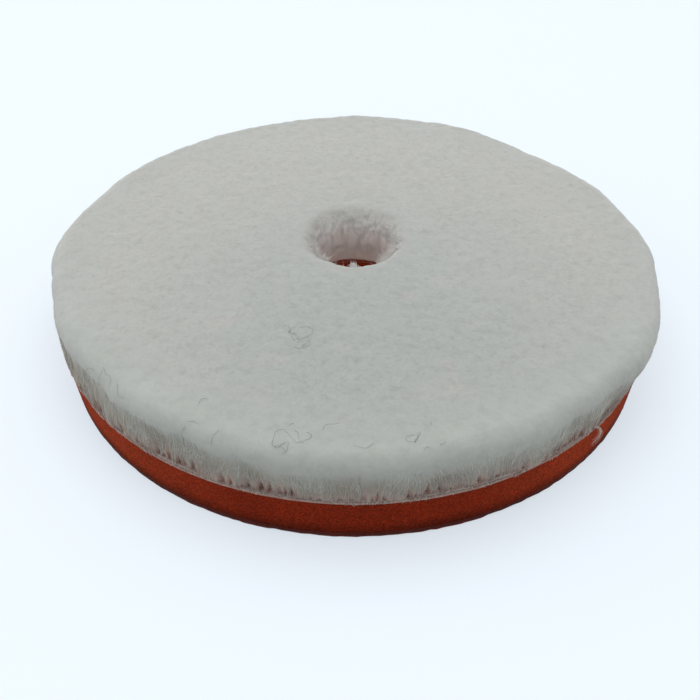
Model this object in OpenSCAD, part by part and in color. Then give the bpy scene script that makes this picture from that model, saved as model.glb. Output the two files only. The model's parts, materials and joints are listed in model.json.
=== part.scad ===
// Round polishing pad for a random-orbit car polisher.
// A short cut pile stands on a woven cloth, which is glued to a disc of foam.
// The back of the foam carries loop cloth, which grips the hooks of a backing plate.
// One round hole runs through every layer.
// Units are millimetres. Z is up, and z = 0 is the face of the loops.

/* [Diameters] */
// Diameter across the pile, at the widest point of its flare
pad_d = 150; // [148:1:170]
// Diameter of the foam where it meets the pile's cloth
foam_face_d = 148; // [140:1:148]
// Diameter of the foam and the loop cloth at the back
loop_d = 146; // [125:1:146]
// Diameter of the centre hole through the cloths and the foam
hole_d = 25; // [22:0.5:32]
// Diameter of the hole between the ends of the pile, which lean in over it
throat_d = 20.4; // [16:0.2:22]

/* [Layers] */
// Height of the loops on the back
loop_nap_t = 1.0; // [0.8:0.1:1.5]
// Thickness of the knitted cloth that carries the loops
loop_cloth_t = 0.4; // [0.3:0.1:0.8]
// Thickness of each film of hot-melt adhesive
adhesive_t = 0.2; // [0.1:0.05:0.3]
// Thickness of the foam disc
foam_t = 10; // [6:0.5:20]
// Thickness of the woven cloth that holds the pile
base_cloth_t = 0.6; // [0.4:0.1:1]
// Height of the pile above its cloth
pile_t = 14.6; // [13:0.2:18]

/* [Pile shape] */
// Radius of the pile's rounded outer shoulder
shoulder_r = 4; // [3:0.5:8]
// Radius of the soft lip around the hole in the pile
lip_r = 3.6; // [2:0.2:5]
// Radial gap between the foot of the pile and the hole in the cloth below it
hole_margin = 0.4; // [0.2:0.1:1]

/* [Hidden] */
$fn = 128;
cut = 1; // overrun of each cutting shape
loop_r = loop_d / 2;
foam_face_r = foam_face_d / 2;
pad_r = pad_d / 2;
hole_r = hole_d / 2;

loop_cloth_z = loop_nap_t;
rear_adhesive_z = loop_cloth_z + loop_cloth_t;
foam_z = rear_adhesive_z + adhesive_t;
front_adhesive_z = foam_z + foam_t;
base_cloth_z = front_adhesive_z + adhesive_t;
pile_z = base_cloth_z + base_cloth_t;
top_z = pile_z + pile_t;

// A ring with the centre hole, from height z up, which may taper from r_low to r_high.
module layer(z, t, r_low, r_high) {
    translate([0, 0, z]) difference() {
        cylinder(h = t, r1 = r_low, r2 = r_high);
        translate([0, 0, -cut]) cylinder(h = t + 2 * cut, r = hole_r);
    }
}

// The loops that stand out of the back and take the hooks of the backing plate
module loop_nap() {
    color("#2c1512") layer(0, loop_nap_t, loop_r, loop_r);
}

// The knitted cloth that the loops are part of
module loop_cloth() {
    color("#3a1c16") layer(loop_cloth_z, loop_cloth_t, loop_r, loop_r);
}

// The adhesive between the loop cloth and the foam
module rear_adhesive() {
    color("#b98d78") layer(rear_adhesive_z, adhesive_t, loop_r, loop_r);
}

// The foam, which gives under the pile and tapers slightly towards the back
module foam_layer() {
    color("#8f3217") layer(foam_z, foam_t, loop_r, foam_face_r);
}

// The adhesive between the foam and the pile's cloth
module front_adhesive() {
    color("#d9b3a2") layer(front_adhesive_z, adhesive_t, foam_face_r, foam_face_r);
}

// The woven cloth that every tuft of the pile is rooted in
module base_cloth() {
    color("#d8cdc4") layer(base_cloth_z, base_cloth_t, foam_face_r, foam_face_r);
}

// What rounding takes off the square top corner at [x, z], leaving radius r.
// The side is 1 where the material lies towards the axis, and -1 where it lies away from it.
module corner_waste(x, z, r, side) {
    translate([x - side * r, z - r]) difference() {
        translate([side > 0 ? 0 : -r - cut, 0]) square([r + cut, r + cut]);
        circle(r = r);
    }
}

// Half section of the pile: it flares outwards from its cloth and leans in over the hole,
// and its top edges are rounded.
module pile_section() {
    foot_r = hole_r + hole_margin;
    throat_r = throat_d / 2;
    difference() {
        polygon([
            [foot_r, pile_z],
            [foam_face_r, pile_z],
            [pad_r, top_z - shoulder_r],
            [pad_r, top_z],
            [throat_r, top_z],
            [throat_r, top_z - lip_r]
        ]);
        corner_waste(pad_r, top_z, shoulder_r, 1);
        corner_waste(throat_r, top_z, lip_r, -1);
    }
}

// The cut pile, as the mass that its tufts make together
module pile() {
    color("#e4e6e1") rotate_extrude() pile_section();
}

loop_nap();
loop_cloth();
rear_adhesive();
foam_layer();
front_adhesive();
base_cloth();
pile();
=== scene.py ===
import itertools
import json
import math

import bpy
import numpy as np
from mathutils import Matrix, Vector


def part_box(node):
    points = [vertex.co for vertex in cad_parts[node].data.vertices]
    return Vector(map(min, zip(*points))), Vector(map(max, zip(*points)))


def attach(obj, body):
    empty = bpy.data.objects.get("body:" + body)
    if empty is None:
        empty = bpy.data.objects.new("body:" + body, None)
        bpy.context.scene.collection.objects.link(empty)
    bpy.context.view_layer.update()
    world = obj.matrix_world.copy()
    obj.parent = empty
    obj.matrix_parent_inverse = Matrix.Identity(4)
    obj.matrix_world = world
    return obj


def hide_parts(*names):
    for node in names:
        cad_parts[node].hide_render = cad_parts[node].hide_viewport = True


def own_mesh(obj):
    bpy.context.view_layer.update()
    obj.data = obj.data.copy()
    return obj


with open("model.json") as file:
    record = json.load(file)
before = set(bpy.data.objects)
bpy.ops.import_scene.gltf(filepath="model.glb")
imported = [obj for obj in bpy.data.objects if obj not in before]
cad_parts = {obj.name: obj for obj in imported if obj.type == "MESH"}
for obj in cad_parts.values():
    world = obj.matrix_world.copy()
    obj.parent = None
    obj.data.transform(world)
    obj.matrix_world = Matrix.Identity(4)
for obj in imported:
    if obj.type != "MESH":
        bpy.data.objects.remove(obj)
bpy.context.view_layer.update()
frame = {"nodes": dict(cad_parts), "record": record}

MM = 0.001

# ---------------------------------------------------------------- sizes, from the frame


def layer(node):
    """The outer radius of a CAD layer, and its lowest and highest z."""
    low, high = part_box(node)
    return (high.x - low.x) / 2, low.z, high.z


def narrowest(node):
    """The radius of a CAD layer's hole where it is narrowest."""
    return min(math.hypot(v.co.x, v.co.y) for v in frame["nodes"][node].data.vertices)


PAD_R, PILE_Z, TOP_Z = layer("pile")
CLOTH_R, CLOTH_LOW, CLOTH_HIGH = layer("base_cloth")
FOAM_R, FOAM_Z, FOAM_TOP = layer("foam_layer")
LOOP_R, NAP_Z, NAP_TOP = layer("loop_nap")
_, KNIT_Z, KNIT_TOP = layer("loop_cloth")
HOLE = next(m for m in frame["record"]["mounts"] if m["name"] == "centre_hole")
HOLE_R = HOLE["dims"]["r_mm"] * MM
FOOT_R = HOLE_R + 0.1 * MM
THROAT_R = narrowest("pile")

# The rounding of the pile at its outer shoulder, and at its lip round the hole.
SHOULDER_R = 4 * MM
LIP_R = 3.6 * MM

# The worn face drops about this far from its middle to its rim.
CROWN = 1.7 * MM

# The rim isn't quite round. It is longest along one diagonal, and has four low corners and small waves.
RIM_OVAL, RIM_OVAL_TURN = 0.6 * MM, math.radians(-45)
RIM_CORNERS, RIM_CORNERS_TURN = 0.7 * MM, math.radians(-10)
RIM_WAVES = 0.8 * MM

# Relief of the pile, as layers of noise: the height of each in mm, the size of its features in mm, its seed.
FACE_RELIEF = [(0.13, 2.6, 1), (0.09, 1.4, 2), (0.04, 0.8, 3)]
WALL_RELIEF = [(0.75, 8, 7), (0.14, 3.2, 4), (0.05, 1.0, 5)]
SHOULDER_RELIEF = [(0.7, 14, 12), (0.15, 5, 13)]

# The gaps between the tufts at the rim, small and wide: how many there are, and the ranges of their half
# width and height in mm, and of how open they are.
SMALL_GAPS = (150, (0.45, 1.05), (1.3, 3.8), (0.3, 0.8))
WIDE_GAPS = (90, (0.7, 1.2), (3.8, 7.0), (0.8, 1.0))

# How many stray hairs lie on the face, and in how many tangles.
HAIRS = 30
TANGLES = 8


# ---------------------------------------------------------------- numbers and noise


def smooth(low, high, x):
    """0 below low, 1 above high, and an even rise between them."""
    s = np.clip((x - low) / (high - low), 0, 1)
    return s * s * (3 - 2 * s)


def noise(points, size, seed):
    """Smooth noise from -1 to 1 at each point, with features about size across."""
    cells = 48
    values = np.random.default_rng(seed).uniform(-1, 1, (cells, cells, cells))
    turn = np.array(Matrix.Rotation(0.6, 3, (0.3, 0.5, 0.8)))
    place = points @ turn / size
    cell = np.floor(place).astype(int)
    part = place - cell
    part = part * part * (3 - 2 * part)
    total = np.zeros(len(points))
    for corner in itertools.product((0, 1), repeat=3):
        index = (cell + corner) % cells
        share = np.prod(np.where(corner, part, 1 - part), axis=1)
        total += share * values[index[:, 0], index[:, 1], index[:, 2]]
    return total


def layered(points, layers):
    """The sum of several noises at each point. Each layer is a height, a size in mm and a seed."""
    return sum(height * noise(points, size * MM, seed) for height, size, seed in layers)


def polar(radius, angle, z):
    """Points from their distance to the axis, direction and height."""
    return np.stack([radius * np.cos(angle), radius * np.sin(angle), z + 0 * angle], axis=-1)


# ---------------------------------------------------------------- outlines and closed rings


def straight(start, end, step):
    """Points from start up to end, leaving end out."""
    start, end = np.array(start), np.array(end)
    count = max(1, round(np.linalg.norm(end - start) / step))
    return [tuple(start + (end - start) * i / count) for i in range(count)]


def bend(centre, radius, first, last, step):
    """Points on an arc from the angle first up to last, in degrees, leaving the last out."""
    count = max(1, round(abs(math.radians(last - first)) * radius / step))
    angles = [math.radians(first + (last - first) * i / count) for i in range(count)]
    return [(centre[0] + radius * math.cos(a), centre[1] + radius * math.sin(a)) for a in angles]


class Outline:
    """Half the section of a ring-shaped piece: a closed loop of (radius, z) points, clockwise."""

    def __init__(self, parts):
        """Each part is a list of points, and the spacing wanted round the rings that they make."""
        self.points = np.array([p for points, _ in parts for p in points])
        spacing = [s for points, s in parts for _ in points]
        self.marks = np.cumsum([0] + [len(points) for points, _ in parts])
        ahead = np.roll(self.points, -1, axis=0)
        along = ahead - np.roll(self.points, 1, axis=0)
        self.normals = np.stack([-along[:, 1], along[:, 0]], 1)
        self.normals /= np.linalg.norm(self.normals, axis=1)[:, None]
        self.distance = np.cumsum([0, *np.linalg.norm(ahead - self.points, axis=1)])
        self.counts = [ring_count(r, s) for (r, _), s in zip(self.points, spacing)]
        for _ in self.counts:
            self.counts = [max(c, b // 2, a // 2) for b, c, a in
                           zip(np.roll(self.counts, 1), self.counts, np.roll(self.counts, -1))]

    def at(self, distance):
        """Radius, z and both parts of the normal at a distance along the outline."""
        columns = np.hstack([self.points, self.normals])
        columns = np.vstack([columns, columns[:1]])
        return [np.interp(distance, self.distance, column) for column in columns.T]

    def mark(self, part):
        """How far along the outline that part begins."""
        return self.distance[self.marks[part]]


def ring_count(radius, spacing):
    """How many points go round a ring: 180, doubled until the spacing is about the one wanted."""
    return 180 * 2 ** max(0, round(math.log2(2 * math.pi * radius / spacing / 180)))


def stitch(a, a_count, b, b_count):
    """Faces between two rings of points, where one may have twice as many as the other."""
    if a_count == b_count:
        i = np.arange(a_count)
        j = (i + 1) % a_count
        return np.stack([a + i, b + i, b + j, a + j], 1).tolist()
    if b_count == 2 * a_count:
        i = np.arange(a_count)
        j = (i + 1) % a_count
        middle, after = b + 2 * i + 1, b + 2 * j
        return (np.stack([a + i, b + 2 * i, middle], 1).tolist()
                + np.stack([a + i, middle, after, a + j], 1).tolist())
    i = np.arange(b_count)
    j = (i + 1) % b_count
    middle, after = a + 2 * i + 1, a + 2 * j
    return (np.stack([a + 2 * i, b + i, middle], 1).tolist()
            + np.stack([middle, b + i, b + j, after], 1).tolist())


def new_piece(name, points, faces, materials, body):
    """A smooth mesh that rides on a CAD body."""
    mesh = bpy.data.meshes.new(name)
    mesh.from_pydata(np.asarray(points).reshape(-1, 3).tolist(), [], faces)
    mesh.shade_smooth()
    for material in materials:
        mesh.materials.append(material)
    piece = bpy.data.objects.new(name, mesh)
    bpy.context.scene.collection.objects.link(piece)
    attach(piece, body)
    return piece


def ring_piece(name, outline, surface, material, body):
    """A closed ring. surface(distance, angle) gives its points, and the values that its material reads
    at each of them."""
    distance, angle, faces, start = [], [], [], 0
    for k, count in enumerate(outline.counts):
        distance.append(np.full(count, outline.distance[k]))
        angle.append(np.arange(count) * 2 * math.pi / count)
        ahead = start + count if k + 1 < len(outline.counts) else 0
        faces += stitch(start, count, ahead, outline.counts[(k + 1) % len(outline.counts)])
        start += count
    distance, angle = np.concatenate(distance), np.concatenate(angle)
    points, values = surface(distance, angle)
    piece = new_piece(name, points, faces, [material], body)
    for attribute, value in values.items():
        stored = piece.data.attributes.new(attribute, "FLOAT", "POINT")
        stored.data.foreach_set("value", value.astype(np.float32))
    return piece


# ---------------------------------------------------------------- fibres


def fibre_piece(name, paths, widths, shades, materials, body, sides=3):
    """Closed tapering fibres. paths is (fibre, point, xyz), widths the radius at each point of a fibre,
    and shades the material of each stretch of each fibre."""
    count, steps = paths.shape[:2]
    rng = np.random.default_rng(steps)
    ahead = np.gradient(paths, axis=1)
    ahead /= np.linalg.norm(ahead, axis=2)[..., None] + 1e-12
    across = np.cross(ahead, rng.normal(size=(count, 1, 3)))
    across /= np.linalg.norm(across, axis=2)[..., None] + 1e-12
    above = np.cross(ahead, across)
    points = []
    for k in range(sides):
        turn = 2 * math.pi * k / sides
        points.append(paths + widths[None, :, None] * (math.cos(turn) * across + math.sin(turn) * above))
    points = np.stack(points, axis=2)
    first = np.arange(count)[:, None, None] * steps * sides
    ring = np.arange(steps - 1)[None, :, None] * sides
    k = np.arange(sides)[None, None, :]
    ahead_k = (k + 1) % sides
    walls = np.stack([first + ring + k, first + ring + ahead_k,
                      first + ring + sides + ahead_k, first + ring + sides + k], axis=-1)
    ends = np.arange(count)[:, None] * steps * sides
    foot = ends + np.arange(sides)[::-1]
    tip = ends + (steps - 1) * sides + np.arange(sides)
    faces = walls.reshape(-1, 4).tolist() + foot.tolist() + tip.tolist()
    piece = new_piece(name, points, faces, materials, body)
    index = np.concatenate([np.repeat(shades, sides, axis=1).ravel(), shades[:, 0], shades[:, -1]])
    piece.data.polygons.foreach_set("material_index", index.astype(np.int32))
    return piece


def taper(thick, thin, steps):
    """Radii of a fibre that is thick mm across at its root and thin mm at its tip."""
    return np.linspace(thick, thin, steps) / 2 * MM


# ---------------------------------------------------------------- the pile's surface

pile_outline = Outline([
    (straight((FOOT_R, PILE_Z), (THROAT_R, TOP_Z - LIP_R), 0.5 * MM), 0.3 * MM),
    (bend((THROAT_R + LIP_R, TOP_Z - LIP_R), LIP_R, 180, 90, 0.4 * MM), 0.3 * MM),
    (straight((THROAT_R + LIP_R, TOP_Z), (PAD_R - SHOULDER_R, TOP_Z), 0.66 * MM), 0.5 * MM),
    (bend((PAD_R - SHOULDER_R, TOP_Z - SHOULDER_R), SHOULDER_R, 90, 0, 0.55 * MM), 0.5 * MM),
    (straight((PAD_R, TOP_Z - SHOULDER_R), (CLOTH_R, PILE_Z), 0.45 * MM), 0.3 * MM),
    (straight((CLOTH_R, PILE_Z), (FOOT_R, PILE_Z), 9 * MM), 2 * MM),
])
HOLE_WALL, LIP, FACE, SHOULDER, WALL, UNDERSIDE = [pile_outline.mark(k) for k in range(6)]


def rim_waves(angle):
    """How far the rim stands out of round in each direction."""
    oval = RIM_OVAL * np.cos(2 * (angle - RIM_OVAL_TURN))
    corners = RIM_CORNERS * np.cos(4 * (angle - RIM_CORNERS_TURN))
    return oval + corners + RIM_WAVES * noise(polar(PAD_R, angle, 0.0), 20 * MM, 9)


def all_gaps():
    """The gaps between tufts at the rim: direction in radians, half width and height in metres, and
    how open each one is, from 0 to 1."""
    rng = np.random.default_rng(11)
    gaps = []
    for count, widths, heights, opened in (SMALL_GAPS, WIDE_GAPS):
        gaps.append(np.stack([rng.uniform(-math.pi, math.pi, count), rng.uniform(*widths, count) * MM,
                              rng.uniform(*heights, count) * MM, rng.uniform(*opened, count)], 1))
    return np.vstack(gaps)


GAPS = all_gaps()


def gap_share(angle, height, spread=(1, 1)):
    """How deep in a gap between tufts each point of the rim is, from 0 to 1. The gaps' width and height
    are taken as spread times their own."""
    share = np.zeros(len(angle))
    for direction, width, tall, opened in GAPS * [1, *spread, 1]:
        off = np.abs((angle - direction + math.pi) % (2 * math.pi) - math.pi) * CLOTH_R
        near = (off < width) & (height < tall)
        narrowed = width * np.sqrt(1 - np.clip(height[near], 0, tall) / tall) + 1e-9
        side = smooth(1, 0, off[near] / narrowed)
        share[near] = np.maximum(share[near], opened * side * smooth(1, 0.1, height[near] / tall))
    return share


def wall_folds(angle, height):
    """The hollows between the clumps of tufts round the rim, from 0 to 1. They fade towards the shoulder."""
    hollow = smooth(0.25, -0.45, noise(polar(CLOTH_R, angle, 0.4 * height), 6 * MM, 8))
    return hollow * smooth(UNDERSIDE - WALL + 2 * MM, 4.5 * MM, height)


def lip_grooves(angle, distance):
    """The folds between the tufts round the hole, from 0 to 1."""
    round_hole = polar(THROAT_R, angle, 0.35 * distance)
    ridge = 1 - np.abs(noise(round_hole, 1.7 * MM, 21) + 0.5 * noise(round_hole, 0.9 * MM, 22))
    return smooth(0.6, 1.0, ridge)


def hole_opening(angle, distance):
    """How far the tufts round the hole stand back: they lean in over its near side, not its far side."""
    near_throat = smooth(LIP - 6 * MM, FACE, distance) * (1 - smooth(FACE, FACE + 6 * MM, distance))
    far, near = smooth(0.1, 0.9, np.sin(angle)), smooth(0.1, 0.9, -np.sin(angle))
    return (2.2 * far - 0.6 * near) * MM * near_throat


def pile_relief(plain, distance, on_wall):
    """The height of the pile's relief in mm: fine on the face, long upright tufts on the wall, and soft
    lumps at the shoulder between them."""
    below = smooth(WALL, WALL + 5 * MM, distance)
    lumpy = smooth(SHOULDER - 7 * MM, SHOULDER + 2 * MM, distance) * (1 - below)
    relief = layered(plain, FACE_RELIEF) * (1 - on_wall)
    relief += layered(plain * [1, 1, 0.2], WALL_RELIEF) * on_wall
    return relief + layered(plain, SHOULDER_RELIEF) * lumpy


def pile_surface(distance, angle, lift=0.0):
    """Points on the pile, at a distance along its outline and in a direction, raised by lift. With them:
    how much painted shade each one takes among the roots of the tufts and in a fold or groove, and its place
    along."""
    radius, z, out, up = pile_outline.at(distance)
    plain = polar(radius, angle, z)
    above_cloth = z - PILE_Z
    worked = 1 - smooth(UNDERSIDE - 0.2 * MM, UNDERSIDE + 0.2 * MM, distance)
    on_wall = smooth(SHOULDER + 1.5 * MM, WALL + 1 * MM, distance) * worked
    gap = gap_share(angle, above_cloth) * on_wall
    shade = gap_share(angle, above_cloth, (2.2, 1.5)) * on_wall
    fold = wall_folds(angle, above_cloth) * on_wall
    inside = 1 - smooth(FACE - 2.5 * MM, FACE, distance)
    round_lip = smooth(HOLE_WALL, HOLE_WALL + 5 * MM, distance) * inside
    groove = lip_grooves(angle, distance) * round_lip
    relief = pile_relief(plain, distance, on_wall)
    height = (relief - 0.7 * gap - 0.22 * groove - 0.3 * fold) * MM * worked + lift
    radius = radius + out * height + hole_opening(angle, distance)
    z = z + up * height
    share = smooth(0.35 * PAD_R, PAD_R, radius) * smooth(PILE_Z, TOP_Z - SHOULDER_R, z)
    radius = radius + rim_waves(angle) * share
    z = z + 0.3 * MM * noise(plain, 17 * MM, 6) * up * smooth(FACE, FACE + 8 * MM, distance) * worked
    z = z - CROWN * smooth(0.5 * PAD_R, 1.05 * PAD_R, radius) * smooth(PILE_Z + 2 * MM, TOP_Z - SHOULDER_R, z)
    # Painted shade: darker low on the wall, round the gaps between tufts and in them.
    low_wall = smooth(4.5 * MM, 0.2 * MM, z - PILE_Z) * on_wall
    rooted = np.clip(np.maximum(gap, 0.35 * low_wall + 0.4 * shade), 0, 1)
    return polar(radius, angle, z), {"rooted": rooted, "shaded_folds": groove + 2.2 * fold, "along": distance}


# ---------------------------------------------------------------- materials


def new_material(name, roughness, sheen=0.0, **sockets):
    """A material and its shader, with the plain values that are the same all over."""
    material = bpy.data.materials.new(name)
    material.use_nodes = True
    shader = material.node_tree.nodes["Principled BSDF"]
    shader.inputs["Roughness"].default_value = roughness
    shader.inputs["Sheen Weight"].default_value = sheen
    shader.inputs["Sheen Roughness"].default_value = 0.5
    shader.inputs["Specular IOR Level"].default_value = 0.2
    for socket, value in sockets.items():
        shader.inputs[socket.replace("_", " ")].default_value = value
    return material, shader


class Nodes:
    """Short names for adding nodes to a material."""

    def __init__(self, material):
        self.tree = material.node_tree
        self.place = self.add("ShaderNodeTexCoord").outputs["Object"]

    def add(self, kind, **settings):
        node = self.tree.nodes.new(kind)
        for setting, value in settings.items():
            setattr(node, setting, value)
        return node

    def link(self, source, target):
        self.tree.links.new(source, target)

    def stretched(self, scale):
        """The place in the object, scaled along each axis."""
        node = self.add("ShaderNodeMapping")
        node.inputs["Scale"].default_value = scale
        self.link(self.place, node.inputs["Vector"])
        return node.outputs["Vector"]

    def noise(self, size, detail=3.0, place=None, roughness=0.5):
        """Noise from 0 to 1, with features about size across."""
        node = self.add("ShaderNodeTexNoise")
        node.inputs["Scale"].default_value = 1 / size
        node.inputs["Detail"].default_value = detail
        node.inputs["Roughness"].default_value = roughness
        self.link(place or self.place, node.inputs["Vector"])
        return node.outputs["Fac"]

    def cells(self, size, place=None):
        """The distance to the middle of the nearest cell, with cells about size across."""
        node = self.add("ShaderNodeTexVoronoi")
        node.inputs["Scale"].default_value = 1 / size
        self.link(place or self.place, node.inputs["Vector"])
        return node.outputs["Distance"]

    def wander(self, size, reach):
        """Noise that wanders by up to reach to either side of 0."""
        return self.math("MULTIPLY", self.math("SUBTRACT", self.noise(size), 0.5), 2 * reach)

    def from_point(self, point):
        """The distance from a point."""
        node = self.add("ShaderNodeVectorMath", operation="DISTANCE")
        self.link(self.place, node.inputs[0])
        node.inputs[1].default_value = point
        return node.outputs["Value"]

    def from_axis(self):
        """The distance from the pad's axis."""
        node = self.add("ShaderNodeVectorMath", operation="LENGTH")
        self.link(self.stretched((1, 1, 0)), node.inputs[0])
        return node.outputs["Value"]

    def height(self):
        """The height above the plane of rest."""
        node = self.add("ShaderNodeSeparateXYZ")
        self.link(self.place, node.inputs[0])
        return node.outputs["Z"]

    def ramp(self, factor, *stops):
        """A colour ramp with a stop at each (position, colour), over any range of positions."""
        low, high = stops[0][0], stops[-1][0]
        span = self.add("ShaderNodeMapRange")
        self.link(factor, span.inputs["Value"])
        span.inputs["From Min"].default_value, span.inputs["From Max"].default_value = low, high
        factor, stops = span.outputs["Result"], [((p - low) / (high - low), c) for p, c in stops]
        node = self.add("ShaderNodeValToRGB")
        while len(node.color_ramp.elements) < len(stops):
            node.color_ramp.elements.new(0.5)
        for element, (position, colour) in zip(node.color_ramp.elements, stops):
            element.position = position
            element.color = (*colour, 1) if hasattr(colour, "__len__") else (colour, colour, colour, 1)
        self.link(factor, node.inputs["Fac"])
        return node.outputs["Color"]

    def mix(self, factor, a, b, blend="MIX"):
        """Two colours mixed. Each may be a socket or a plain colour, and factor a socket or a number."""
        node = self.add("ShaderNodeMix", data_type="RGBA", blend_type=blend)
        for socket, value in ((node.inputs[0], factor), (node.inputs[6], a), (node.inputs[7], b)):
            if isinstance(value, bpy.types.NodeSocket):
                self.link(value, socket)
            else:
                socket.default_value = (*value, 1) if hasattr(value, "__len__") else value
        return node.outputs[2]

    def math(self, operation, a, b):
        node = self.add("ShaderNodeMath", operation=operation)
        for socket, value in zip(node.inputs, (a, b)):
            if isinstance(value, bpy.types.NodeSocket):
                self.link(value, socket)
            else:
                socket.default_value = value
        return node.outputs[0]

    def attribute(self, name):
        return self.add("ShaderNodeAttribute", attribute_name=name).outputs["Fac"]

    def bump(self, height, distance, strength=1.0, under=None):
        """A bump of that height in metres, over another one if under is given."""
        node = self.add("ShaderNodeBump")
        node.inputs["Distance"].default_value = distance
        node.inputs["Strength"].default_value = strength
        self.link(height, node.inputs["Height"])
        if under is not None:
            self.link(under, node.inputs["Normal"])
        return node.outputs["Normal"]


PILE_WARM = (0.412, 0.41, 0.385)
# Painted shade: the darker, cooler tone of the near half of the face.
PILE_NEAR_SHADE = (0.361, 0.379, 0.358)
PILE_PINK = (0.425, 0.403, 0.385)
# Painted shade: the darker, cooler tone near the rim.
PILE_RIM_SHADE = (0.385, 0.405, 0.378)
# Painted light and shade in the hole: pale down its wall, pinkish with painted red light from the foam at its
# foot, and a little darker than the face at the top of the lip.
HOLE_FOOT = (0.80, 0.58, 0.50)
HOLE_LOW = (0.74, 0.59, 0.515)
HOLE_DEEP = (0.68, 0.59, 0.535)
HOLE_MID = (0.74, 0.66, 0.61)
HOLE_HIGH = (0.79, 0.725, 0.68)
LIP_LOW = (0.60, 0.575, 0.545)
LIP_MID = (0.45, 0.44, 0.415)
LIP_HIGH = (0.375, 0.37, 0.35)
LIP_TOP = (0.365, 0.365, 0.345)
# Painted shade: the darker tone low on the outer wall.
WALL_SHADED = (0.262, 0.235, 0.187)
FOLD_SHADE = (0.52, 0.47, 0.455)
# Painted shade at the roots and in the gaps between tufts, tinted by red light from the foam.
ROOT_SOFT_SHADE = (0.28, 0.195, 0.16)
ROOT_DARK_SHADE = (0.17, 0.065, 0.048)
# Painted light and shade: the foam's tone at its near side, and paler at its sides.
FOAM_SHADED = (0.28, 0.024, 0.005)
FOAM_LIT = (0.42, 0.048, 0.011)
CLOTH_HOLE_RED = (0.26, 0.042, 0.02)
WEAVE = ((0.31, 0.21, 0.17), (0.25, 0.16, 0.125))
# KNIT, REAR_FILM and NAP hold painted shade as well as their own dark red: they are darker to show the shade
# at the pad's lower edge.
KNIT = ((0.05, 0.009, 0.006), (0.035, 0.006, 0.004))
FRONT_FILM = ((0.20, 0.06, 0.035), (0.28, 0.11, 0.075))
REAR_FILM = ((0.05, 0.007, 0.004), (0.08, 0.011, 0.006))
NAP = ((0.07, 0.011, 0.006), (0.13, 0.021, 0.012))
LOOPS = {"loop_dark": (0.07, 0.011, 0.006), "loop_red": (0.13, 0.022, 0.013)}
HAIR = (0.10, 0.10, 0.095)
FLOOR = (0.33, 0.357, 0.383)
FLOOR_GLOW = (0.86, 0.93, 1.0)


def face_tone(n):
    """The trimmed face, with blushes, dimples and flecks. Painted shade makes it darker and cooler on its
    near half, and again near its rim, most of all at its near side.
    """
    # Painted shade: a darker, cooler patch on the near half of the face.
    near_shade = n.ramp(n.math("ADD", n.from_point((4 * MM, -34 * MM, TOP_Z)), n.wander(16 * MM, 12 * MM)),
                     (12 * MM, 1.0), (62 * MM, 0.0))
    tone = n.mix(near_shade, PILE_WARM, PILE_NEAR_SHADE)
    blush = n.ramp(n.noise(13 * MM, 1.0, n.stretched((1, 1.3, 1))), (0.58, 0.0), (0.75, 0.5))
    tone = n.mix(blush, tone, PILE_PINK)
    dimple = n.ramp(n.noise(2.4 * MM, 3.0), (0.30, 0.93), (0.55, 1.0))
    tips = n.ramp(n.noise(0.8 * MM, 2.0), (0.32, 0.94), (0.58, 1.0))
    fleck = n.ramp(n.noise(1.5 * MM, 1.0), (0.26, 0.92), (0.42, 1.0))
    for pattern in (dimple, tips, fleck):
        tone = n.mix(1.0, tone, pattern, "MULTIPLY")
    # Painted shade: darker and cooler near the rim, most at the near side.
    rim = n.math("MULTIPLY", n.ramp(n.from_axis(), (PAD_R - 16 * MM, 0.0), (PAD_R - 4 * MM, 0.8)),
                 n.ramp(n.from_point((0, -PAD_R, TOP_Z)), (0.7 * PAD_R, 1.0), (1.5 * PAD_R, 0.2)))
    return n.mix(rim, tone, n.mix(1.0, PILE_RIM_SHADE, dimple, "MULTIPLY"))


def hole_tone(n, tone):
    """The wall of the hole over the face's tone, in painted light and shade: pinkish at its foot with painted
    red light from the foam, palest just below the lip, and a little darker than the face at the lip's top.
    """
    along = n.math("ADD", n.attribute("along"), n.wander(1.5 * MM, 1.2 * MM))
    in_hole = n.ramp(along, (FACE - 1.5 * MM, 1.0), (FACE + 2.5 * MM, 0.0))
    # Painted light: paler down the hole and pinkish at its foot; painted shade at the top of the lip.
    hole_light_and_shade = n.ramp(along, (HOLE_WALL, HOLE_FOOT), (HOLE_WALL + 1 * MM, HOLE_LOW),
                    (HOLE_WALL + 4 * MM, HOLE_DEEP), (LIP - 4 * MM, HOLE_MID),
                    (LIP - 0.8 * MM, HOLE_HIGH), (LIP + 0.7 * MM, LIP_LOW),
                    (LIP + 2 * MM, LIP_MID), (LIP + 3.5 * MM, LIP_HIGH), (FACE, LIP_TOP))
    return n.mix(in_hole, tone, hole_light_and_shade)


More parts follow.
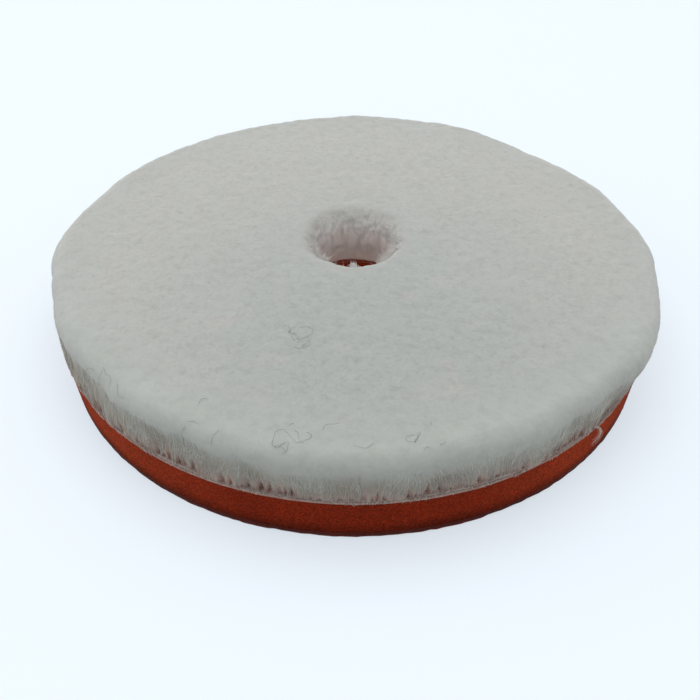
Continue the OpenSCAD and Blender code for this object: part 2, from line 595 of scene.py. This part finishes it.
def wall_tone(n, tone):
    """The outer wall over that, with painted shade: darker going down, shaded folds and grooves, and
    red-tinted shade at the roots and in the gaps between tufts.
    """
    # Painted shade: darker going down the wall.
    wall_shade = n.math("MULTIPLY", n.ramp(n.from_axis(), (PAD_R - 8 * MM, 0.0), (PAD_R - 3 * MM, 1.0)),
                       n.ramp(n.height(), (PILE_Z + 5 * MM, 1.0), (TOP_Z - 2 * MM, 0.0)))
    tone = n.mix(wall_shade, tone, WALL_SHADED)
    # Painted shade in the hollows between clumps of tufts and in the grooves round the hole.
    fold = n.math("MULTIPLY", n.attribute("shaded_folds"), 0.2)
    tone = n.mix(fold, tone, n.mix(1.0, tone, FOLD_SHADE, "MULTIPLY"))
    # Painted shade at the roots and in the gaps, streaked, and darkest and reddest in the deepest.
    streaks = n.ramp(n.noise(1.1 * MM, 2.0, n.stretched((1, 1, 0.3))), (0.3, 0.5), (0.55, 1.0))
    rooted = n.math("MULTIPLY", n.attribute("rooted"), streaks)
    tone = n.mix(n.ramp(rooted, (0.0, 0.0), (0.5, 0.95)), tone, ROOT_SOFT_SHADE)
    return n.mix(n.ramp(rooted, (0.36, 0.0), (0.88, 1.0)), tone, ROOT_DARK_SHADE)


def pile_material():
    """Off-white cut pile: matte, slightly translucent, and rough with the ends of its fibres."""
    material, shader = new_material("cut_pile", 0.95, sheen=0.1, Subsurface_Weight=0.6,
                                    Subsurface_Scale=0.002)
    shader.inputs["Subsurface Radius"].default_value = (1.0, 0.8, 0.7)
    n = Nodes(material)
    tone = wall_tone(n, hole_tone(n, face_tone(n)))
    n.link(tone, shader.inputs["Base Color"])
    coarse = n.bump(n.noise(1.1 * MM, 4.0), 0.5 * MM, 0.35)
    n.link(n.bump(n.noise(0.28 * MM, 3.0), 0.16 * MM, 0.4, coarse), shader.inputs["Normal"])
    return material


def fibre_material(name, colour):
    """One shade of fibre, too thin for a pattern of its own."""
    material, shader = new_material(name, 0.9, sheen=0.2)
    shader.inputs["Base Color"].default_value = (*colour, 1)
    return material


def foam_material():
    """Brick-red open-cell foam, with painted light and shade: darker at its near side, paler at its sides,
    and darker towards its lower edge.
    """
    material, shader = new_material("open_cell_foam", 0.95, Specular_IOR_Level=0.05)
    n = Nodes(material)
    pores = n.cells(0.42 * MM)
    # Painted light and shade: darker at the near side, paler round the sides.
    side_light = n.ramp(n.from_point((0, -2 * PAD_R, FOAM_Z)), (1.1 * PAD_R, 0.0), (1.45 * PAD_R, 1.0))
    tone = n.mix(side_light, FOAM_SHADED, FOAM_LIT)
    tone = n.mix(1.0, tone, n.ramp(pores, (0.0, 0.18), (0.35, 0.6), (0.9, 1.0)), "MULTIPLY")
    patches = n.ramp(n.noise(9 * MM, 2.0), (0.3, 0.84), (0.7, 1.0))
    tone = n.mix(1.0, tone, patches, "MULTIPLY")
    grains = n.ramp(n.noise(0.6 * MM, 2.0), (0.35, 0.76), (0.6, 1.0))
    tone = n.mix(1.0, tone, grains, "MULTIPLY")
    # Painted shade: darker towards the lower edge.
    edge = n.ramp(n.math("ADD", n.height(), n.wander(1.5 * MM, 0.6 * MM)),
                  (FOAM_Z, 0.4), (FOAM_Z + 3.5 * MM, 1.0))
    n.link(n.mix(1.0, tone, edge, "MULTIPLY"), shader.inputs["Base Color"])
    coarse = n.bump(n.noise(1.6 * MM, 2.0), 0.3 * MM, 0.5)
    n.link(n.bump(pores, 0.22 * MM, 0.9, coarse), shader.inputs["Normal"])
    return material


def cloth_material(name, warp, weft, pitch):
    """Plain weave: warp and weft threads cross a pitch apart."""
    material, shader = new_material(name, 0.9, sheen=0.03, Specular_IOR_Level=0.1)
    n = Nodes(material)
    threads = []
    for direction in ("X", "Y"):
        wave = n.add("ShaderNodeTexWave", wave_type="BANDS", bands_direction=direction)
        wave.inputs["Scale"].default_value = 1 / pitch / 20 * 2 * math.pi
        wave.inputs["Distortion"].default_value = 0.6
        n.link(n.place, wave.inputs["Vector"])
        threads.append(wave.outputs["Fac"])
    over = n.math("MULTIPLY", *threads)
    tone = n.mix(over, warp, weft)
    worn = n.ramp(n.noise(1.2 * MM, 3.0), (0.3, 0.8), (0.6, 1.0))
    tone = n.mix(1.0, tone, worn, "MULTIPLY")
    # Reddish towards the edge of the hole.
    hole_red = n.ramp(n.math("ADD", n.from_axis(), n.wander(2 * MM, 0.6 * MM)), (HOLE_R + 0.5 * MM, 1.0),
                     (HOLE_R + 2 * MM, 0.0))
    n.link(n.mix(hole_red, tone, CLOTH_HOLE_RED), shader.inputs["Base Color"])
    n.link(n.bump(over, 0.12 * MM, 0.8), shader.inputs["Normal"])
    return material


def film_material(name, dark, light):
    """Hot-melt film with a soft gloss and small bubbles."""
    material, shader = new_material(name + "_film", 0.45, Specular_IOR_Level=0.1)
    n = Nodes(material)
    tone = n.ramp(n.noise(2.5 * MM, 4.0), (0.3, dark), (0.7, light))
    n.link(tone, shader.inputs["Base Color"])
    n.link(n.ramp(n.noise(1.2 * MM), (0.3, 0.35), (0.7, 0.6)), shader.inputs["Roughness"])
    n.link(n.bump(n.cells(0.9 * MM), 0.08 * MM, 0.5), shader.inputs["Normal"])
    return material


def nap_material():
    """Brushed loops, seen as one dark velvety mass."""
    material, shader = new_material("brushed_nap", 0.95, Specular_IOR_Level=0.05)
    n = Nodes(material)
    tone = n.ramp(n.noise(1.0 * MM, 4.0), (0.3, NAP[0]), (0.7, NAP[1]))
    n.link(tone, shader.inputs["Base Color"])
    n.link(n.bump(n.noise(0.4 * MM, 4.0), 0.25 * MM, 0.8), shader.inputs["Normal"])
    return material


# ---------------------------------------------------------------- pieces of the face


def make_pile():
    """The pile as one mass: its trimmed face, its shoulder and the tufts of its wall."""
    piece = ring_piece("pile_body", pile_outline, pile_surface, pile_material(), "face")
    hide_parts("pile")


FIBRES = {
    "fibre_white": (0.55, 0.53, 0.475),
    "fibre_cool": (0.52, 0.515, 0.455),
    "fibre_warm": (0.53, 0.495, 0.435),
    # Painted shade: for fibres low on the wall, in hollows and at their roots.
    "fibre_low_shade": (0.42, 0.365, 0.31),
    "fibre_root_shade": (0.38, 0.23, 0.185),
    # Painted light: paler shades for the fibres in the hole and round its lip.
    "fibre_hole_lit": (0.84, 0.76, 0.71),
    "fibre_lip_lit": (0.70, 0.68, 0.65),
}


def fibre_materials():
    return [fibre_material(name, colour) for name, colour in FIBRES.items()]


# Where the shades after the first three stand in FIBRES.
LOW_SHADE, ROOT_SHADE, IN_HOLE_LIT, UP_HOLE_LIT = 3, 4, 5, 6


def tuft_shades(rng, count, steps):
    """A white, cool or warm shade for each fibre."""
    return np.repeat(rng.integers(0, 3, (count, 1)), steps - 1, axis=1)


def make_rim_fibres(materials):
    """Fibres of the tufts that show at the rim: they fan out from the cloth to the shoulder."""
    rng = np.random.default_rng(31)
    tufts, per_tuft, steps = 620, 8, 6
    centres = (np.arange(tufts) + rng.uniform(-0.5, 0.5, tufts)) * 2 * math.pi / tufts
    # The more open a gap is, the more of its tufts are left out.
    empty = gap_share(centres, np.full(tufts, 0.5 * MM))
    centres = centres[rng.uniform(0, 1, tufts) > 0.8 * empty]
    count = len(centres) * per_tuft
    centre = np.repeat(centres, per_tuft)
    # Tufts near each other lean the same way. These are mm to the side, at the tip.
    swept = 2.6 * noise(polar(CLOTH_R, centres, 0.0), 7 * MM, 32)
    lean = np.repeat(swept + rng.normal(0, 0.4, len(centres)), per_tuft)
    root = rng.normal(0, 0.3, count)
    fan = rng.normal(0, 0.6, count)
    foot = rng.uniform(0, 7, count) * MM * (rng.uniform(0, 1, count) > 0.4)
    length = rng.uniform(0.3, 1.0, count) * (UNDERSIDE - WALL + 4 * MM - foot)
    share = np.linspace(0, 1, steps)[None, :] ** 1.3
    sway = 0.25 * np.sin(share * 5 + rng.uniform(0, 6.3, (count, 1)))
    angle = centre[:, None] + (root[:, None] + (lean + fan)[:, None] * share + sway) * MM / CLOTH_R
    rise = foot[:, None] + length[:, None] * share
    lift = (rng.uniform(0.0, 0.16, (count, 1)) * np.sin(share * math.pi * 0.9) + 0.03 - 0.07 * share) * MM
    points, _ = pile_surface((UNDERSIDE - 0.1 * MM - rise).ravel(), angle.ravel(), lift.ravel())
    # A fibre takes painted shade: reddish at its root, and darker low on the wall and in a hollow.
    middle = (rise[:, 1:] + rise[:, :-1]) / 2 + rng.normal(0, 0.5 * MM, (count, 1))
    hollow = wall_folds(centre, foot + length / 2)
    low = (middle < 3.5 * MM) | (hollow > rng.uniform(0.35, 1.2, count))[:, None]
    shades = np.where(middle < 0.9 * MM, ROOT_SHADE, np.where(low, LOW_SHADE, tuft_shades(rng, count, steps)))
    fibre_piece("rim_fibres", points.reshape(count, steps, 3), taper(0.10, 0.035, steps), shades,
                materials, "face")


def make_hole_fibres(materials):
    """Fibres round the hole: they rise from its wall, lean in over it, and end at the height of the face."""
    rng = np.random.default_rng(41)
    count, steps = 3400, 5
    angle = rng.uniform(0, 2 * math.pi, count)
    # Few stand on the near side, where the lip tuft is, and on the far side half as many as at the sides.
    sparse = 0.95 * smooth(0.7, 0.85, -np.sin(angle)) + 0.5 * smooth(0.2, 0.8, np.sin(angle))
    angle = angle[rng.uniform(0, 1, count) > sparse]
    count = len(angle)
    start = rng.uniform(LIP - 6 * MM, LIP + 3.4 * MM, count)
    roots, _ = pile_surface(start, angle)
    headroom = TOP_Z - roots[:, 2] - rng.uniform(-0.3, 1.6, count) * MM
    rise = np.minimum(rng.uniform(1.2, 4.0, count) * MM, headroom)
    share = np.linspace(0, 1, steps)[None, :]
    near_side = smooth(0.3, -0.3, np.sin(angle))
    lean = (0.15 + rng.uniform(0, 0.9 + 0.9 * near_side) * smooth(LIP - 5 * MM, LIP, start)) * MM
    radius = np.hypot(roots[:, 0], roots[:, 1])[:, None] - lean[:, None] * share ** 1.5 + 0.03 * MM
    turned = angle[:, None] + rng.normal(0, 0.4, (count, 1)) * MM * share / THROAT_R
    paths = polar(radius, turned, roots[:, 2:] + rise[:, None] * share)
    # Painted light: these fibres are paler than the face's, and pinkish deep in the hole.
    shades = np.full((count, steps - 1), UP_HOLE_LIT)
    shades[start < LIP - 3 * MM] = IN_HOLE_LIT
    fibre_piece("hole_fibres", paths, taper(0.08, 0.03, steps), shades, materials, "face")


def make_fringe(materials):
    """Short ends of the pile's lowest fibres, which hide the cloth's edges in places."""
    rng = np.random.default_rng(45)
    steps = 4
    share = np.linspace(0, 1, steps)[None, :]
    paths = []
    for edge, side, count in ((CLOTH_R, 1, 2800), (HOLE_R, -1, 350)):
        angle = rng.uniform(0, 2 * math.pi, count)
        clump = smooth(-0.5, 0.6, noise(polar(edge, angle, 0.0), 3 * MM, 46))
        keep = rng.uniform(0, 1, count) < 0.15 + 0.85 * clump
        angle, clump = angle[keep, None], clump[keep, None]
        count = len(angle)
        length = rng.uniform(0.4, 1.0, (count, 1)) * (0.6 + 0.6 * clump) * MM
        z = PILE_Z + rng.uniform(0, 0.6, (count, 1)) * MM - length * share
        turned = angle + rng.normal(0, 0.5, (count, 1)) * MM / edge * share
        out = (0.2 + rng.uniform(0, 0.2, (count, 1)) * np.sin(0.4 + 2.4 * share)) * MM
        paths.append(polar(edge + side * out, turned, z))
    paths = np.concatenate(paths)
    shades = tuft_shades(rng, len(paths), steps)
    # Painted shade: half of them, and all those round the hole, take the root's shade.
    shades[rng.uniform(0, 1, len(paths)) < 0.5] = ROOT_SHADE
    shades[np.hypot(paths[:, 0, 0], paths[:, 0, 1]) < 2 * HOLE_R] = ROOT_SHADE
    fibre_piece("fringe_fibres", paths, taper(0.09, 0.04, steps), shades, materials, "face")


def make_hairs():
    """Stray dark hairs, curled and tangled on the near part of the face, most of them towards its rim."""
    rng = np.random.default_rng(101)
    steps = 24
    share = np.linspace(0, 1, steps)
    # Each tangle has a direction in degrees and a distance inward from the rim in mm.
    tangles = [(rng.normal(-95, 25), min(rng.exponential(9), 40)) for _ in range(TANGLES)]
    paths = []
    for _ in range(HAIRS):
        direction, inward = tangles[rng.integers(TANGLES)]
        direction = math.radians(direction + rng.normal(0, 2.5))
        start = PAD_R + (2 - inward + rng.normal(0, 2)) * MM
        length = min(0.8 + rng.exponential(4.5), 16)
        turn = math.radians(rng.normal(0, 20)) * length
        wiggle = 0.4 * np.sin(share * (2 + length) + rng.uniform(0, 6)) + 0.25 * rng.normal(0, 1, steps)
        course = rng.uniform(0, 2 * math.pi) + turn * share + wiggle
        line = np.cumsum(np.stack([np.cos(course), np.sin(course)], 1), axis=0) * length / steps * MM
        line += start * np.array([math.cos(direction), math.sin(direction)])
        distance = np.clip(FACE + np.hypot(*line.T) - THROAT_R - LIP_R, FACE, UNDERSIDE - 2 * MM)
        lift = np.full(steps, 0.12 * MM) + 0.15 * MM * np.sin(share * math.pi)
        points, _ = pile_surface(distance, np.arctan2(line[:, 1], line[:, 0]), lift)
        paths.append(points)
    material = fibre_material("dark_hair", HAIR)
    shades = np.zeros((HAIRS, steps - 1), int)
    fibre_piece("stray_hairs", np.array(paths), taper(0.07, 0.045, steps), shades, [material], "face")


def make_loose_tuft(materials):
    """A tuft that has worked loose at the right: it hangs down over the foam."""
    rng = np.random.default_rng(111)
    count, steps = 12, 12
    share = np.linspace(0, 1, steps)[None, :]
    strand = rng.normal(0, 1, (count, 2, 1))
    along = 1.2 * np.sin(share * 3.6) + 0.3 * strand[:, 0] * (1 - 0.5 * share)
    wiggle = 0.2 * np.sin(share * 7 + rng.uniform(0, 6, (count, 1)))
    angle = math.radians(-45) + (along + wiggle) * MM / CLOTH_R
    z = PILE_Z + (0.8 - 6.2 * share * rng.uniform(0.4, 1, (count, 1)) ** 0.6) * MM
    radius = CLOTH_R + (0.35 + 0.9 * np.sin(share * 2.8) + 0.2 * strand[:, 1]) * MM
    shades = tuft_shades(rng, count, steps)
    fibre_piece("loose_tuft", polar(radius, angle, z), taper(0.08, 0.03, steps), shades,
                materials, "face")


def make_lip_tuft(materials):
    """A small tuft that stands over the near edge of the hole."""
    rng = np.random.default_rng(121)
    count, steps = 110, 6
    share = np.linspace(0, 1, steps)[None, :]
    across = rng.normal(0, 0.75, (count, 1)) * (1 - 0.45 * share) * MM
    reach = rng.uniform(0.4, 1.0, (count, 1)) * 2.6 * MM * share
    along = -(THROAT_R + 2.4 * MM) + reach
    z = TOP_Z - 1.9 * MM + (1.7 * np.sin(share * 2.2) + rng.normal(0, 0.35, (count, 1)) * share) * MM
    paths = np.stack([across - 0.3 * MM, along + 0 * across, z + 0 * across], axis=-1)
    # Painted light: the tuft is paler than the fibres of the face.
    shades = np.full((count, steps - 1), UP_HOLE_LIT)
    fibre_piece("lip_tuft", paths, taper(0.11, 0.05, steps), shades, materials, "face")


def make_base_cloth():
    """The woven cloth: its edge shows as a pale line under the pile."""
    bulge = 0.15 * MM
    outline = Outline([
        (straight((HOLE_R, CLOTH_LOW), (HOLE_R, CLOTH_HIGH), 0.3 * MM), 0.4 * MM),
        (straight((HOLE_R, CLOTH_HIGH), (CLOTH_R, CLOTH_HIGH), 6 * MM), 1.2 * MM),
        (straight((CLOTH_R, CLOTH_HIGH), (CLOTH_R, CLOTH_LOW), 0.2 * MM), 0.4 * MM),
        (straight((CLOTH_R, CLOTH_LOW), (HOLE_R, CLOTH_LOW), 6 * MM), 1.2 * MM),
    ])

    def surface(distance, angle):
        radius, z, _, _ = outline.at(distance)
        at_edge = smooth(CLOTH_R - 0.4 * MM, CLOTH_R, radius)
        plain = polar(radius, angle, z)
        ragged = bulge * (0.6 + 0.4 * noise(plain, 0.9 * MM, 51) + 0.5 * noise(plain, 4 * MM, 52))
        dip = 0.12 * MM * noise(plain, 5 * MM, 53) * at_edge
        return polar(radius + ragged * at_edge, angle, z + dip), {}

    material = cloth_material("base_weave", *WEAVE, 0.7 * MM)
    piece = ring_piece("base_cloth_disc", outline, surface, material, "face")
    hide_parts("base_cloth")


# ---------------------------------------------------------------- pieces of the backing


def make_foam():
    """The foam, with the relief of its cells on every face."""
    outline = Outline([
        (straight((HOLE_R, FOAM_Z), (HOLE_R, FOAM_TOP), 0.5 * MM), 0.4 * MM),
        (straight((HOLE_R, FOAM_TOP), (FOAM_R, FOAM_TOP), 4 * MM), 1.5 * MM),
        (straight((FOAM_R, FOAM_TOP), (LOOP_R, FOAM_Z), 0.4 * MM), 0.33 * MM),
        (straight((LOOP_R, FOAM_Z), (HOLE_R, FOAM_Z), 4 * MM), 1.5 * MM),
    ])

    def surface(distance, angle):
        radius, z, out, _ = outline.at(distance)
        plain = polar(radius, angle, z)
        on_side = np.abs(out) > 0.9
        depth = (0.10 * noise(plain, 0.7 * MM, 61) + 0.10 * noise(plain, 3 * MM, 62)) * MM * on_side
        return polar(radius + out * depth, angle, z), {}

    piece = ring_piece("foam_disc", outline, surface, foam_material(), "backing")
    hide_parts("foam_layer")
    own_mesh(piece)


def make_knit():
    """The knitted ground of the loop cloth."""
    outline = Outline([
        (straight((HOLE_R, KNIT_Z), (HOLE_R, KNIT_TOP), 0.2 * MM), 0.4 * MM),
        (straight((HOLE_R, KNIT_TOP), (LOOP_R, KNIT_TOP), 6 * MM), 1.2 * MM),
        (straight((LOOP_R, KNIT_TOP), (LOOP_R, KNIT_Z), 0.2 * MM), 0.4 * MM),
        (straight((LOOP_R, KNIT_Z), (HOLE_R, KNIT_Z), 6 * MM), 1.2 * MM),
    ])

    def surface(distance, angle):
        radius, z, out, _ = outline.at(distance)
        plain = polar(radius, angle, z)
        ragged = 0.12 * MM * noise(plain, 0.8 * MM, 71) * (np.abs(out) > 0.5)
        return polar(radius + out * ragged, angle, z), {}

    material = cloth_material("tricot_knit", *KNIT, 0.8 * MM)
    piece = ring_piece("knit_disc", outline, surface, material, "backing")
    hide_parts("loop_cloth")


def make_nap():
    """The brushed loops as one mass, with single loops standing out of it."""
    floor = NAP_Z + 0.3 * MM
    outline = Outline([
        (straight((HOLE_R, floor), (HOLE_R, NAP_TOP), 0.3 * MM), 0.4 * MM),
        (straight((HOLE_R, NAP_TOP), (LOOP_R, NAP_TOP), 6 * MM), 1.2 * MM),
        (straight((LOOP_R, NAP_TOP), (LOOP_R - 0.2 * MM, floor), 0.3 * MM), 0.4 * MM),
        (straight((LOOP_R - 0.2 * MM, floor), (HOLE_R, floor), 0.9 * MM), 0.8 * MM),
    ])

    def surface(distance, angle):
        radius, z, out, up = outline.at(distance)
        plain = polar(radius, angle, z)
        worked = smooth(NAP_TOP, floor, z)
        height = (0.16 * noise(plain, 1.6 * MM, 81) + 0.10 * noise(plain, 3.5 * MM, 82)) * MM * worked
        return polar(radius + out * height, angle, z + up * height), {}

    piece = ring_piece("nap_body", outline, surface, nap_material(), "backing")
    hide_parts("loop_nap")
    make_loops(floor)


def make_loops(floor):
    """Single loops of the nap: arches that hang from its face down to the plane of rest."""
    rng = np.random.default_rng(91)
    count, steps = 4800, 6
    radius = np.sqrt(rng.uniform((HOLE_R + 0.8 * MM) ** 2, (LOOP_R - 0.8 * MM) ** 2, count))
    angle = rng.uniform(0, 2 * math.pi, count)
    heading = rng.uniform(0, 2 * math.pi, count)
    span = rng.uniform(0.7, 1.5, count) * MM
    drop = rng.uniform(0.35, 1.0, count) * (floor - NAP_Z - 0.06 * MM)
    share = np.linspace(0, 1, steps)[None, :]
    along = (share - 0.5) * span[:, None]
    twist = 0.25 * MM * np.sin(share * math.pi) * rng.normal(0, 1, (count, 1))
    ahead, aside = np.cos(heading)[:, None], np.sin(heading)[:, None]
    x = (radius * np.cos(angle))[:, None] + along * ahead - twist * aside
    y = (radius * np.sin(angle))[:, None] + along * aside + twist * ahead
    z = floor + 0.2 * MM - (drop[:, None] + 0.2 * MM) * np.sin(share * math.pi) ** 0.7
    materials = [fibre_material(name, colour) for name, colour in LOOPS.items()]
    shades = np.repeat(rng.integers(0, 2, (count, 1)), steps - 1, axis=1)
    fibre_piece("nap_loops", np.stack([x, y, z], -1), taper(0.11, 0.11, steps), shades,
                materials, "backing")


def dress_films():
    """The adhesive films keep their CAD shape and get their own material."""
    for node, (dark, light) in (("front_adhesive", FRONT_FILM), ("rear_adhesive", REAR_FILM)):
        piece = frame["nodes"][node]
        piece.data.materials.clear()
        piece.data.materials.append(film_material(node, dark, light))


# ---------------------------------------------------------------- the studio


def make_camera():
    """The camera, as far from the pad and as high as the eye that looks down on it."""
    elevation, tilt, yaw = math.radians(36.2), math.radians(39.4), math.radians(-0.3)
    away, target = 3.319 * PAD_R, 0.12 * PAD_R
    camera = bpy.data.cameras.new("camera")
    camera.sensor_width = 36
    camera.lens = 48.66
    camera.clip_start = 0.01
    eye = bpy.data.objects.new("camera", camera)
    eye.location = (0, -away * math.cos(elevation), target + away * math.sin(elevation))
    eye.rotation_euler = (math.pi / 2 - tilt, 0, -yaw)
    bpy.context.scene.collection.objects.link(eye)
    bpy.context.scene.camera = eye


def area_light(name, place, size, power, colour):
    """A square light that faces the middle of the plane of rest."""
    light = bpy.data.lights.new(name, "AREA")
    light.size = size
    light.energy = power
    light.color = colour
    lamp = bpy.data.objects.new(name, light)
    lamp.location = place
    lamp.rotation_euler = (Vector((0, 0, 0)) - Vector(place)).to_track_quat("-Z", "Y").to_euler()
    bpy.context.scene.collection.objects.link(lamp)


def make_floor():
    """A plain pale floor that curves up into a plain pale wall far behind the pad."""
    count, wall, curve, top = 96, 4.0, 0.8, 3.0
    profile = [(0.02, 0.0), *bend((wall - curve, curve), curve, -90, 0, 0.08), (wall, curve), (wall, top)]
    turn = np.arange(count) * 2 * math.pi / count
    points = np.concatenate([polar(r, turn, z + NAP_Z) for r, z in profile])
    faces = [list(range(count))]
    for k in range(len(profile) - 1):
        faces += stitch((k + 1) * count, count, k * count, count)
    mesh = bpy.data.meshes.new("floor")
    mesh.from_pydata(points.tolist(), [], faces)
    mesh.shade_smooth()
    material, shader = new_material("floor", 0.9)
    shader.inputs["Base Color"].default_value = (*FLOOR, 1)
    shader.inputs["Emission Color"].default_value = (*FLOOR_GLOW, 1)
    shader.inputs["Emission Strength"].default_value = 0.59
    mesh.materials.append(material)
    floor = bpy.data.objects.new("floor", mesh)
    bpy.context.scene.collection.objects.link(floor)


def make_studio():
    """One large soft light, with a weak one at each side and a dim pale surround."""
    area_light("softbox", (0.0, 0.05, 1.2), size=1.7, power=15.3, colour=(1, 0.983, 0.955))
    for side, x, power in (("left", -1.1, 2.2), ("right", 1.1, 0.1)):
        area_light(side + "_panel", (x, 0.15, 0.55), size=0.8, power=power, colour=(1, 0.995, 0.985))
    world = bpy.data.worlds.new("surround")
    world.use_nodes = True
    bpy.context.scene.world = world
    tree = world.node_tree
    background = tree.nodes["Background"]
    background.inputs["Color"].default_value = (0.95, 0.97, 1.0, 1)
    background.inputs["Strength"].default_value = 0.35
    bpy.context.scene.view_settings.view_transform = "Standard"


def main():
    make_camera()
    make_floor()
    make_studio()
    make_pile()
    materials = fibre_materials()
    make_rim_fibres(materials)
    make_hole_fibres(materials)
    make_fringe(materials)
    make_hairs()
    make_loose_tuft(materials)
    make_lip_tuft(materials)
    make_base_cloth()
    make_foam()
    make_knit()
    make_nap()
    dress_films()


main()
